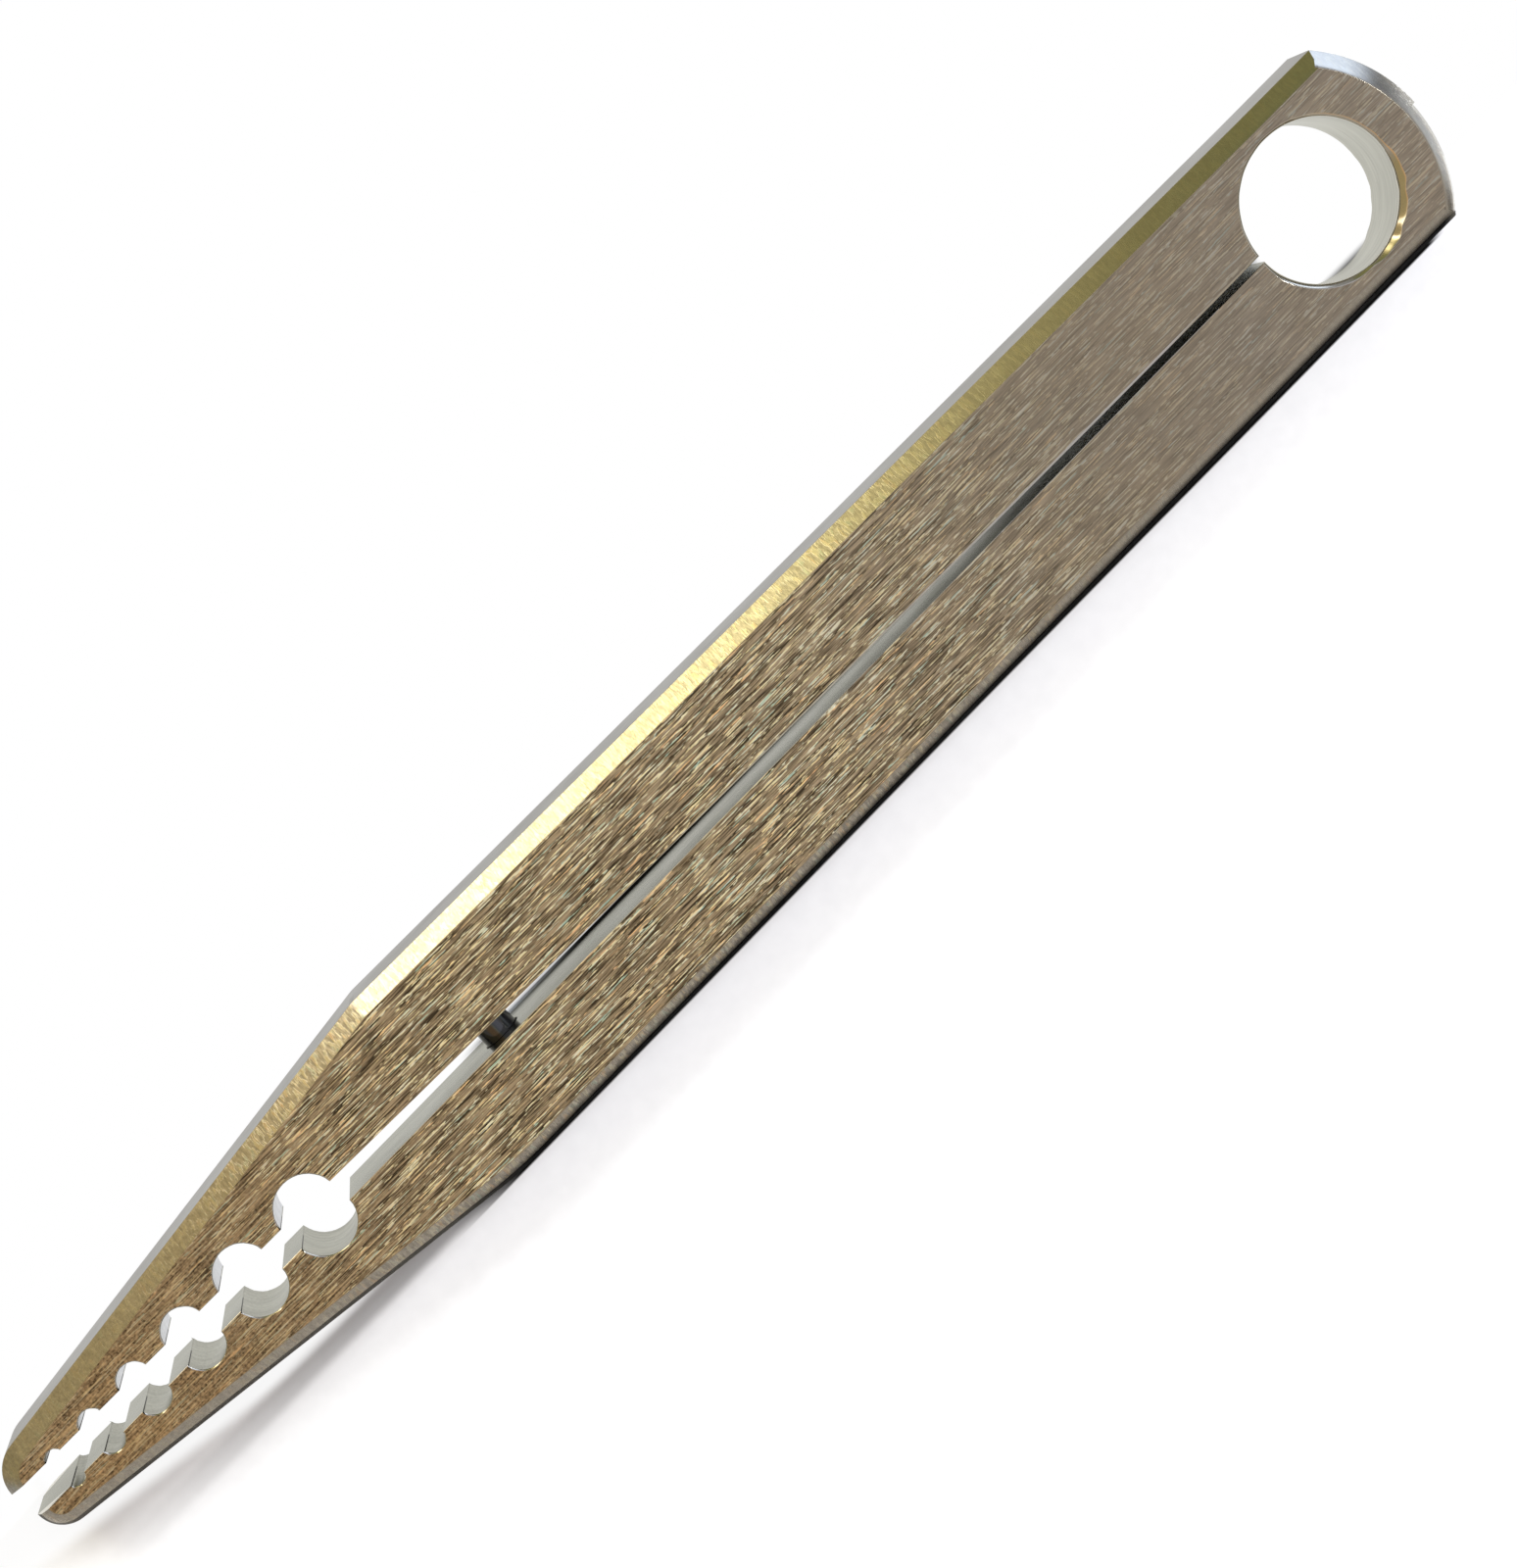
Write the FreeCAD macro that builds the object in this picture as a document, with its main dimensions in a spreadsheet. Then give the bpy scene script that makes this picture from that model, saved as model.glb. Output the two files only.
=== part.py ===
import FreeCAD, Part
import os
import Sketcher

# Roller remover tweezers: a flat bar with a round eye through one end, sawn lengthwise into two
# arms whose tapered jaws share a row of round holes, and a guide pin across the slit.
# The bar bends at the two thin walls beside the eye. It is parted there, so that each arm turns
# about the middle of its wall on a round tongue of the bow.
# X runs from the eye to the tips, Y across the arms, Z up from the underside.
# The origin is in the middle of the underside.

SIZES = (
    ("bar_length", 110.0),
    ("bar_width", 12.6),
    ("bar_thickness", 5.5),
    ("bevel", 1.0),
    ("bevel_depth", 0.7),
    ("eye_wall", 1.7),
    ("eye_rim", 0.18),
    ("eye_to_end", 7.78),
    ("eye_to_corner", 5.35),
    ("slit_width", 0.36),
    ("rest_opening_degrees", 0.43),
    ("jaw_length", 32.6),
    ("jaw_tip_width", 3.88),
    ("shoulder_radius", 30.0),
    ("nose_flat", 0.19),
    ("tip_to_last_hole", 3.3),
    ("hole_land", 1.52),
    ("hole_diameter_one", 3.8),
    ("hole_diameter_two", 3.3),
    ("hole_diameter_three", 2.65),
    ("hole_diameter_four", 2.05),
    ("hole_diameter_five", 1.55),
    ("hole_diameter_six", 1.1),
    ("shoulder_to_pin", 4.42),
    ("pin_diameter", 2.2),
    ("pin_bevel", 0.2),
    ("pin_hole_clearance", 0.12),
    ("pin_end_wall", 1.4),
    ("pin_end_gap", 0.5),
    ("tongue_radius", 0.45),
    ("tongue_neck", 0.5),
    ("tongue_clearance", 0.02),
    ("parting_setback", 0.3),
    ("parting_gap", 0.03),
    ("cut_overrun", 1.0),
)

# The jaw holes, from the tips back.
HOLE_DIAMETERS = (
    "hole_diameter_six",
    "hole_diameter_five",
    "hole_diameter_four",
    "hole_diameter_three",
    "hole_diameter_two",
    "hole_diameter_one",
)

# Places on the bar, all from the sizes in the sheet. A station is a distance from the eye's centre.
# An arm's own frame stands on the axis it turns about, in the middle of the wall beside the eye.
HALF_WIDTH = "Sizes.bar_width / 2"
EYE_RADIUS = "(Sizes.bar_width / 2 - Sizes.eye_wall)"
EYE_X = "(Sizes.eye_to_end - Sizes.bar_length / 2)"
AXIS_REACH = "(Sizes.bar_width - Sizes.eye_wall) / 2"
TIP_STATION = "(Sizes.bar_length - Sizes.eye_to_end)"
SHOULDER_STATION = "({} - Sizes.jaw_length)".format(TIP_STATION)
PIN_STATION = "({} - Sizes.shoulder_to_pin)".format(SHOULDER_STATION)
ARM_SIDE = "({} - {})".format(HALF_WIDTH, AXIS_REACH)
ARM_SLIT = "(Sizes.slit_width / 2 - {})".format(AXIS_REACH)
ARM_TIP_SIDE = "(Sizes.jaw_tip_width / 2 - {})".format(AXIS_REACH)
TAPER = "atan(({} - {}) / Sizes.jaw_length)".format(ARM_SIDE, ARM_TIP_SIDE)
NOSE_RADIUS = "({} - {} - Sizes.nose_flat) / tan(45 deg - {} / 2)".format(ARM_TIP_SIDE, ARM_SLIT, TAPER)
PIN_BORE_END = "({} - Sizes.pin_end_wall)".format(ARM_SIDE)
PIN_LENGTH = "(Sizes.bar_width - 2 * Sizes.pin_end_wall - Sizes.pin_end_gap)"
TONGUE_HEIGHT = "(Sizes.bar_thickness - 2 * Sizes.bevel)"


def make_sheet(doc):
    sheet = doc.addObject("Spreadsheet::Sheet", "Sizes")
    for row, (alias, value) in enumerate(SIZES, start=1):
        sheet.set("A{}".format(row), alias)
        sheet.set("B{}".format(row), str(value))
        sheet.setAlias("B{}".format(row), alias)
    doc.recompute()


def make_body(doc, label):
    body = doc.addObject("PartDesign::Body", label)
    body.Label = label
    return body


def add_sketch(body, name, role="XY_Plane", offset=None):
    sketch = body.newObject("Sketcher::SketchObject", name)
    plane = [feature for feature in body.Origin.OriginFeatures if feature.Role == role][0]
    sketch.AttachmentSupport = [(plane, "")]
    sketch.MapMode = "FlatFace"
    if offset is not None:
        sketch.setExpression(".AttachmentOffset.Base.z", offset)
    body.Document.recompute()
    return sketch


def number(sketch, expression):
    value = sketch.evalExpression(expression)
    return float(getattr(value, "Value", value))


def bind(sketch, constraint, name, expression):
    index = sketch.addConstraint(constraint)
    sketch.renameConstraint(index, name)
    sketch.setExpression("Constraints." + name, expression)


def hold_point(sketch, geometry, point, name, x, y):
    """Hold a point of the sketch at two named distances from its origin."""
    for direction, place in (("X", x), ("Y", y)):
        distance = Sketcher.Constraint(
            "Distance" + direction, -1, 1, geometry, point, number(sketch, place)
        )
        bind(sketch, distance, name + "_" + direction.lower(), place)


def draw_polygon(sketch, corners):
    """Draw a closed straight outline through (name, x, y) corners."""
    points = [
        FreeCAD.Vector(number(sketch, x), number(sketch, y), 0) for _name, x, y in corners
    ]
    lines = [
        sketch.addGeometry(Part.LineSegment(point, points[(index + 1) % len(points)]))
        for index, point in enumerate(points)
    ]
    for index, (name, x, y) in enumerate(corners):
        sketch.addConstraint(Sketcher.Constraint("Coincident", lines[index - 1], 2, lines[index], 1))
        hold_point(sketch, lines[index], 1, name, x, y)


def draw_circle(sketch, name, radius, x=None, y=None):
    """Draw a circle on the sketch's origin, on its Y axis, or at two named distances."""
    centre_x = number(sketch, x) if x else 0
    centre_y = number(sketch, y) if y else 0
    normal = FreeCAD.Vector(0, 0, 1)
    circle = Part.Circle(FreeCAD.Vector(centre_x, centre_y, 0), normal, number(sketch, radius))
    geometry = sketch.addGeometry(circle)
    size = Sketcher.Constraint("Radius", geometry, number(sketch, radius))
    bind(sketch, size, name + "_radius", radius)
    if x:
        hold_point(sketch, geometry, 3, name, x, y)
    elif y:
        sketch.addConstraint(Sketcher.Constraint("PointOnObject", geometry, 3, -2))
        height = Sketcher.Constraint("DistanceY", -1, 1, geometry, 3, centre_y)
        bind(sketch, height, name + "_y", y)
    else:
        sketch.addConstraint(Sketcher.Constraint("Coincident", geometry, 3, -1, 1))


def add_pad(body, name, sketch, length, towards_plus=True):
    pad = body.newObject("PartDesign::Pad", name)
    pad.Profile = sketch
    pad.setExpression("Length", length)
    pad.Reversed = not towards_plus
    body.Document.recompute()


def add_cut(body, name, sketch, length=None, along_normal=True):
    """Cut from the sketch's plane, through the whole bar or to a named depth."""
    before = body.Tip.Shape.Volume
    cut = body.newObject("PartDesign::Pocket", name)
    cut.Profile = sketch
    cut.Reversed = along_normal
    if length is None:
        cut.Type = "ThroughAll"
    else:
        cut.setExpression("Length", length)
    body.Document.recompute()
    if not cut.Shape.Volume < before:
        raise RuntimeError(name + " cuts nothing")


def edge_names(shape, wanted):
    return [
        "Edge{}".format(index) for index, edge in enumerate(shape.Edges, start=1) if wanted(edge)
    ]


def dress_edges(body, kind, name, size, wanted, depth=None):
    """Add a Fillet or a Chamfer of a named size to the edges that are wanted.

    A Chamfer with a depth of its own reaches that far down the side walls.
    """
    base = body.Tip
    names = edge_names(base.Shape, wanted)
    if not names:
        raise RuntimeError(body.Label + " has no edge for " + name)
    dress = body.newObject("PartDesign::" + kind, name)
    dress.Base = (base, names)
    if depth is None:
        dress.setExpression("Radius" if kind == "Fillet" else "Size", size)
    else:
        dress.ChamferType = "Two distances"
        dress.setExpression("Size", depth)
        dress.setExpression("Size2", size)
    body.Document.recompute()


def middle(edge):
    return edge.valueAt((edge.FirstParameter + edge.LastParameter) / 2)


def same(first, second):
    return abs(first - second) < Part.Precision.approximation()


def is_upright(edge):
    return same(edge.BoundBox.XLength, 0) and same(edge.BoundBox.YLength, 0)


def is_flat(edge):
    return same(edge.BoundBox.ZLength, 0)


def is_round(edge, radius):
    return isinstance(edge.Curve, Part.Circle) and same(edge.Curve.Radius, radius)


def cut_eye(body, y=None):
    """Drill the eye, or an arm's share of it, and break its two rims."""
    sketch = add_sketch(body, body.Label + "_eye_sketch")
    draw_circle(sketch, "eye", EYE_RADIUS, y=y)
    add_cut(body, body.Label + "_eye", sketch)
    radius = number(sketch, EYE_RADIUS)
    dress_edges(
        body, "Chamfer", body.Label + "_eye_rims", "Sizes.eye_rim", lambda edge: is_round(edge, radius)
    )


def make_bow(doc):
    """The spring end of the bar, round the far side of the eye, with a tongue for each arm."""
    body = make_body(doc, "spring_bow")
    body.setExpression("Placement.Base.x", EYE_X)

    outline = add_sketch(body, "bow_outline")
    parting = number(outline, "-Sizes.parting_setback")
    corner = number(outline, "-Sizes.eye_to_corner")
    end = number(outline, "-Sizes.eye_to_end")
    side = number(outline, HALF_WIDTH)
    far_side = outline.addGeometry(
        Part.LineSegment(FreeCAD.Vector(parting, side, 0), FreeCAD.Vector(corner, side, 0))
    )
    end_arc = outline.addGeometry(
        Part.Arc(
            FreeCAD.Vector(corner, side, 0),
            FreeCAD.Vector(end, 0, 0),
            FreeCAD.Vector(corner, -side, 0),
        )
    )
    near_side = outline.addGeometry(
        Part.LineSegment(FreeCAD.Vector(corner, -side, 0), FreeCAD.Vector(parting, -side, 0))
    )
    cut_face = outline.addGeometry(
        Part.LineSegment(FreeCAD.Vector(parting, -side, 0), FreeCAD.Vector(parting, side, 0))
    )
    apex = outline.addGeometry(Part.Point(FreeCAD.Vector(end, 0, 0)), True)
    outline.addConstraint(Sketcher.Constraint("Coincident", far_side, 2, end_arc, 1))
    outline.addConstraint(Sketcher.Constraint("Coincident", end_arc, 2, near_side, 1))
    outline.addConstraint(Sketcher.Constraint("Coincident", near_side, 2, cut_face, 1))
    outline.addConstraint(Sketcher.Constraint("Coincident", cut_face, 2, far_side, 1))
    hold_point(outline, far_side, 1, "far_parting", "-Sizes.parting_setback", HALF_WIDTH)
    hold_point(outline, far_side, 2, "far_corner", "-Sizes.eye_to_corner", HALF_WIDTH)
    hold_point(outline, near_side, 1, "near_corner", "-Sizes.eye_to_corner", "-" + HALF_WIDTH)
    hold_point(outline, near_side, 2, "near_parting", "-Sizes.parting_setback", "-" + HALF_WIDTH)
    outline.addConstraint(Sketcher.Constraint("PointOnObject", apex, 1, -1))
    reach = Sketcher.Constraint("DistanceX", -1, 1, apex, 1, end)
    bind(outline, reach, "apex_x", "-Sizes.eye_to_end")
    outline.addConstraint(Sketcher.Constraint("PointOnObject", apex, 1, end_arc))
    add_pad(body, "bow_blank", outline, "Sizes.bar_thickness")

    def on_rim(edge):
        return is_flat(edge) and not same(middle(edge).x, parting)

    dress_edges(body, "Chamfer", "bow_bevels", "Sizes.bevel", on_rim, "Sizes.bevel_depth")
    cut_eye(body)

    necks = add_sketch(body, "neck_outlines", offset="Sizes.bevel")
    for name, sign in (("left", ""), ("right", "-")):
        inner = "{}({} - Sizes.tongue_neck / 2)".format(sign, AXIS_REACH)
        outer = "{}({} + Sizes.tongue_neck / 2)".format(sign, AXIS_REACH)
        root = "-(Sizes.parting_setback + Sizes.tongue_neck)"
        front = "-Sizes.tongue_radius / 2"
        draw_polygon(
            necks,
            (
                (name + "_inner_root", root, inner),
                (name + "_inner_front", front, inner),
                (name + "_outer_front", front, outer),
                (name + "_outer_root", root, outer),
            ),
        )
    add_pad(body, "necks", necks, TONGUE_HEIGHT)
    tongues = add_sketch(body, "tongue_outlines", offset="Sizes.bevel")
    draw_circle(tongues, "left", "Sizes.tongue_radius", y=AXIS_REACH)
    draw_circle(tongues, "right", "Sizes.tongue_radius", y="-" + AXIS_REACH)
    add_pad(body, "tongues", tongues, TONGUE_HEIGHT)
    return body


def cut_jaw_holes(body, sign):
    """Cut the arm's half of the row of round holes that the two jaws share."""
    sketch = add_sketch(body, body.Label + "_hole_sketch")
    station = TIP_STATION + " - Sizes.tip_to_last_hole"
    last_radius = None
    for alias in HOLE_DIAMETERS:
        radius = "Sizes.{} / 2".format(alias)
        if last_radius is not None:
            station = "{} - {} - Sizes.hole_land - {}".format(station, last_radius, radius)
        draw_circle(sketch, alias, radius, x=station, y="-{}{}".format(sign, AXIS_REACH))
        last_radius = radius
    add_cut(body, body.Label + "_holes", sketch)


def cut_pin_bore(body, sign, radius):
    """Drill the arm's blind bore for the guide pin, square to the slit."""
    end = PIN_BORE_END if sign else "-" + PIN_BORE_END
    sketch = add_sketch(body, body.Label + "_bore_sketch", "XZ_Plane", end)
    draw_circle(sketch, "pin", radius, x=PIN_STATION, y="Sizes.bar_thickness / 2")
    depth = "{} - {} + Sizes.cut_overrun".format(PIN_BORE_END, ARM_SLIT)
    add_cut(body, body.Label + "_bore", sketch, depth, along_normal=not sign)


def make_arm(doc, label, sign, bore_radius):
    """One arm and its jaw. The sign is empty for the arm on the +Y side and a minus for the other."""
    body = make_body(doc, label)
    body.setExpression("Placement.Base.x", EYE_X)
    body.setExpression("Placement.Base.y", sign + AXIS_REACH)
    body.setExpression("Placement.Rotation.Angle", sign + "Sizes.rest_opening_degrees")

    rear = "-(Sizes.parting_setback - Sizes.parting_gap)"
    outline = add_sketch(body, label + "_outline")
    draw_polygon(
        outline,
        (
            ("rear_slit", rear, sign + ARM_SLIT),
            ("tip_slit", TIP_STATION, sign + ARM_SLIT),
            ("tip_side", TIP_STATION, sign + ARM_TIP_SIDE),
            ("shoulder", SHOULDER_STATION, sign + ARM_SIDE),
            ("rear_side", rear, sign + ARM_SIDE),
        ),
    )
    add_pad(body, label + "_blank", outline, "Sizes.bar_thickness")

    rear_x = number(outline, rear)
    tip_x = number(outline, TIP_STATION)
    slit_y = number(outline, sign + ARM_SLIT)
    shoulder_x = number(outline, SHOULDER_STATION)

    def at_shoulder(edge):
        return is_upright(edge) and same(middle(edge).x, shoulder_x)

    def at_nose(edge):
        return is_upright(edge) and same(middle(edge).x, tip_x) and not same(middle(edge).y, slit_y)

    def on_rim(edge):
        spot = middle(edge)
        return is_flat(edge) and not same(spot.y, slit_y) and not same(spot.x, rear_x)

    dress_edges(body, "Fillet", label + "_shoulder", "Sizes.shoulder_radius", at_shoulder)
    dress_edges(body, "Fillet", label + "_nose", NOSE_RADIUS, at_nose)
    dress_edges(body, "Chamfer", label + "_bevels", "Sizes.bevel", on_rim, "Sizes.bevel_depth")

    cut_eye(body, AXIS_REACH if sign else "-" + AXIS_REACH)
    cut_jaw_holes(body, sign)
    cut_pin_bore(body, sign, bore_radius)

    socket = add_sketch(body, label + "_socket_sketch", offset="Sizes.bevel - Sizes.tongue_clearance")
    draw_circle(socket, "socket", "Sizes.tongue_radius + Sizes.tongue_clearance")
    height = "{} + 2 * Sizes.tongue_clearance".format(TONGUE_HEIGHT)
    add_cut(body, label + "_socket", socket, height)
    return body


def make_pin(doc, arm):
    """The guide pin, pressed into the blind bore of its arm and sharing that arm's frame."""
    body = make_body(doc, "guide_pin")
    body.setExpression("Placement", arm.Name + ".Placement")
    sketch = add_sketch(body, "pin_outline", "XZ_Plane", PIN_BORE_END)
    draw_circle(
        sketch, "pin", "Sizes.pin_diameter / 2", x=PIN_STATION, y="Sizes.bar_thickness / 2"
    )
    add_pad(body, "pin_blank", sketch, PIN_LENGTH, towards_plus=False)
    radius = number(sketch, "Sizes.pin_diameter / 2")
    dress_edges(
        body, "Chamfer", "pin_ends", "Sizes.pin_bevel", lambda edge: is_round(edge, radius)
    )
    return body


def check(doc, bodies):
    for item in doc.Objects:
        if "Invalid" in item.State or "Error" in item.State:
            raise RuntimeError("{} failed: {}".format(item.Label, item.State))
    for body in bodies:
        if body.Shape.isNull() or not body.Shape.isValid() or len(body.Shape.Solids) != 1:
            raise RuntimeError(body.Label + " is not one sound solid")


def main():
    doc = FreeCAD.newDocument("RollerRemoverTweezers")
    make_sheet(doc)
    bow = make_bow(doc)
    clear_bore = "Sizes.pin_diameter / 2 + Sizes.pin_hole_clearance"
    left_arm = make_arm(doc, "left_arm", "", clear_bore)
    right_arm = make_arm(doc, "right_arm", "-", "Sizes.pin_diameter / 2")
    pin = make_pin(doc, right_arm)
    bodies = (bow, left_arm, right_arm, pin)
    doc.recompute()
    check(doc, bodies)
    os.makedirs("parts", exist_ok=True)
    for body in bodies:
        body.Shape.exportStep("parts/{}.step".format(body.Label))
        box = body.Shape.BoundBox
        print(
            "{}: {:.2f} x {:.2f} x {:.2f} mm, {:.1f} mm3".format(
                body.Label, box.XLength, box.YLength, box.ZLength, body.Shape.Volume
            )
        )


main()
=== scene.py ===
import math

import bmesh
import bpy
from mathutils import Matrix, Vector, geometry


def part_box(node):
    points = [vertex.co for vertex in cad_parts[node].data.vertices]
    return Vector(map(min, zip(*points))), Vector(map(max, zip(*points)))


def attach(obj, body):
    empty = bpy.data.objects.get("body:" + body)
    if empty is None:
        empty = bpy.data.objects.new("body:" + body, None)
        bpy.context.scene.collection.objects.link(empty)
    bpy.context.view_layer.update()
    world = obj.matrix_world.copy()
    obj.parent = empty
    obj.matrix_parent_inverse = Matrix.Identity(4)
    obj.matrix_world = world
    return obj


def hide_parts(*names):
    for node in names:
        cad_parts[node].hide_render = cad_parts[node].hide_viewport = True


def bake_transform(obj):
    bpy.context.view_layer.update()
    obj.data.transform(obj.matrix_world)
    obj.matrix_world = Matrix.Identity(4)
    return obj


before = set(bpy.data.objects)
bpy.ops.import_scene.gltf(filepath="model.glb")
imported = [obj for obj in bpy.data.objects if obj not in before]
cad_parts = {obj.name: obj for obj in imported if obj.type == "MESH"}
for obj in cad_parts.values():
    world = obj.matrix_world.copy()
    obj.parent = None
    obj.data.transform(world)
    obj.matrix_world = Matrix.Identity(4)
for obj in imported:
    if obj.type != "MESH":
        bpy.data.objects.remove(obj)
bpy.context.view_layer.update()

# Roller remover tweezers: a flat steel bar with an eye, sawn into two arms with notched jaws.
# The bar is made here in two halves that meet in the middle of the eye's far rim.
# Each half bends at the thin wall beside the eye, where the CAD bar is parted.

MM = 0.001

# Sizes of the bar, in millimetres
bar_length = 110.0
eye_diameter = 9.2
eye_to_end = 7.78
eye_to_corner = 5.35
slit_width = 0.36
bevel_width = 1.0
bevel_depth = 0.7
jaw_length = 32.6
jaw_tip_width = 3.88
tip_to_last_hole = 3.3
hole_land = 1.52
hole_diameters = (3.8, 3.3, 2.65, 2.05, 1.55, 1.1)
flexure_reach = 3.0

# Where hand finishing left the two arms unlike, in millimetres
left_shoulder_radius = 30.0
right_shoulder_radius = 3.0
left_nose_flat = 0.19
right_nose_flat = -0.20
right_slit_bow = 0.19
left_bevel_crown = 0.034
right_bevel_crown = 0.01
left_rolled_foot = 0.50
right_sharp_foot = 0.02

# Small edges, in millimetres
edge_rounding = 0.02
eye_rim = 0.18
eye_rim_crown = 0.01
slit_rim = 0.12
slit_rim_depth = 0.036
slit_rim_rounding = 0.006
notch_rim = 0.05
notch_rim_rounding = 0.015
burr_width = 0.07

# The guide pin and its bores, in millimetres
pin_diameter = 2.2
pin_end_round = 0.2
pin_end_gap = 0.005
pin_end_wall = 1.4
pin_slide_gap = 0.12
pin_press_gap = 0.003
shoulder_to_pin = 4.42
pin_window = 1.7
bore_lip = 0.04

# How far the spring holds each arm open at rest
rest_opening = math.radians(0.43)

# Steps of the meshes, the last in millimetres
slit_steps = 16
notch_steps = 18
nose_steps = 14
shoulder_steps = 8
flexure_steps = 12
end_steps = 28
eye_steps = 72
bore_steps = 48
bevel_bands = 4
face_mesh_step = 1.2

# Places that the CAD frame gives
bow_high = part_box("spring_bow")[1]
half_width = bow_high.y / MM
thickness = bow_high.z / MM
eye_x = eye_to_end - bar_length / 2
pin_low, pin_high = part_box("guide_pin")
pin_length = (pin_high.y - pin_low.y) / MM - pin_end_gap

# Stations along the bar, counted from the eye's centre
eye_radius = eye_diameter / 2
pin_radius = pin_diameter / 2
half_slit = slit_width / 2
pivot_y = (eye_radius + half_width) / 2
tip_station = bar_length - eye_to_end
shoulder_station = tip_station - jaw_length
pin_station = shoulder_station - shoulder_to_pin
taper = math.atan((half_width - jaw_tip_width / 2) / jaw_length)

# Kinds of edge round a half's outline
OUTER, SLIT, NOTCH, BURR, EYE, SEAM = range(6)

# Finishes, in the order of a half's material slots
FACE, BEVEL, FOOT, SIDE, WALL, BORE, DRILLED, RIM, RUBBED, DARK_BURR = range(10)


def arc(centre, radius, first, last, steps):
    """Points on a round from the first angle to the last, both included."""
    angles = [first + (last - first) * step / steps for step in range(steps + 1)]
    return [(centre[0] + radius * math.cos(a), centre[1] + radius * math.sin(a)) for a in angles]


def share_between(value, start, end):
    """How far a value has come from the start to the end, held between 0 and 1."""
    return min(max((value - start) / (end - start), 0.0), 1.0)


def hole_stations():
    """Station and radius of each jaw hole, from the largest to the smallest."""
    places = []
    station = tip_station - tip_to_last_hole
    last_radius = None
    for diameter in reversed(hole_diameters):
        radius = diameter / 2
        if last_radius is not None:
            station -= last_radius + hole_land + radius
        places.append((station, radius))
        last_radius = radius
    return places[::-1]


def bow_at(x, side):
    """How far the right arm leans into the slit, between the eye and the first hole."""
    if side > 0:
        return 0.0
    first_hole, radius = hole_stations()[0]
    share = min((x - eye_radius) / (first_hole - radius - eye_radius), 1.0)
    return right_slit_bow * 4 * share * (1 - share)


def half_outline(side):
    """A half of the closed bar, mirrored to +Y: (x, y, kind of the edge that starts there).

    It runs down the slit to the tip, back along the outside, round the end and round the eye.
    """
    root = math.sqrt(eye_radius**2 - half_slit**2)
    outline = [(root, half_slit, SLIT)]
    for step in range(1, slit_steps):
        x = root + (pin_station - pin_window - root) * step / slit_steps
        outline.append((x, half_slit - bow_at(x, side), SLIT))
    for x in (pin_station - pin_window, pin_station + pin_window, pin_station + 2 * pin_window):
        outline.append((x, half_slit - bow_at(x, side), SLIT))
    for station, radius in hole_stations():
        dip = math.asin(half_slit / radius)
        points = arc((station, 0), radius, math.pi - dip, dip + burr_width / radius, notch_steps)
        outline += [(x, y, NOTCH) for x, y in points[:-1]]
        outline.append((points[-1][0], points[-1][1], BURR))
        outline.append((station + radius * math.cos(dip), half_slit, SLIT))
    outline.append((tip_station, half_slit, OUTER))
    flat = left_nose_flat if side > 0 else right_nose_flat
    nose_radius = (jaw_tip_width / 2 - half_slit - flat) / math.tan(math.pi / 4 - taper / 2)
    nose = (tip_station - nose_radius, half_slit + flat)
    start = math.asin(max(-flat, 0.0) / nose_radius)
    turn = arc(nose, nose_radius, start, math.pi / 2 - taper, nose_steps)
    if side < 0:
        outline[-1] = (turn[0][0], half_slit, OUTER)
        turn = turn[1:]
    outline += [(x, y, OUTER) for x, y in turn]
    bend = left_shoulder_radius if side > 0 else right_shoulder_radius
    shoulder = (shoulder_station - bend * math.tan(taper / 2), half_width - bend)
    turn = arc(shoulder, bend, math.pi / 2 - taper, math.pi / 2, shoulder_steps)
    outline += [(x, y, OUTER) for x, y in turn]
    for step in range(flexure_steps + 1):
        x = flexure_reach * (1 - 2 * step / flexure_steps)
        outline.append((x, half_width, OUTER))
    sagitta = eye_to_end - eye_to_corner
    end_radius = (half_width**2 + sagitta**2) / (2 * sagitta)
    end_centre = end_radius - eye_to_end
    corner = math.pi - math.asin(half_width / end_radius)
    end = arc((end_centre, 0), end_radius, corner, math.pi, end_steps)
    outline += [(x, y, OUTER) for x, y in end[:-1]]
    outline.append((end[-1][0], 0.0, SEAM))
    eye = arc((0, 0), eye_radius, math.pi, math.asin(half_slit / eye_radius), eye_steps)
    outline.append((eye[0][0], 0.0, EYE))
    outline += [(x, y, EYE) for x, y in eye[1:-1]]
    return outline


def edge_profile(width, depth, bulge, rounding, foot):
    """(inset, drop) pairs down one edge of the bar, from its flat face to its wall."""
    slope = math.hypot(width, depth)
    first = rounding / slope
    last = 1 - foot / slope
    pairs = [(width + rounding, 0.0)]
    for band in range(bevel_bands + 1):
        along = first + (last - first) * band / bevel_bands
        crown = bulge * 4 * along * (1 - along)
        inset = width * (1 - along) - crown * depth / slope
        drop = depth * along - crown * width / slope
        pairs.append((inset, drop))
    pairs.append((0.0, depth + foot))
    return pairs


def full_profile(width, depth, bulge, rounding, foot=None):
    """(inset, height) pairs from the top face down to the underside. The foot ends a bevel."""
    pairs = edge_profile(width, depth, bulge, rounding, foot or rounding)
    upper = [(inset, thickness - drop) for inset, drop in pairs]
    lower = [(inset, drop) for inset, drop in reversed(pairs)]
    return upper + lower


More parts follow.
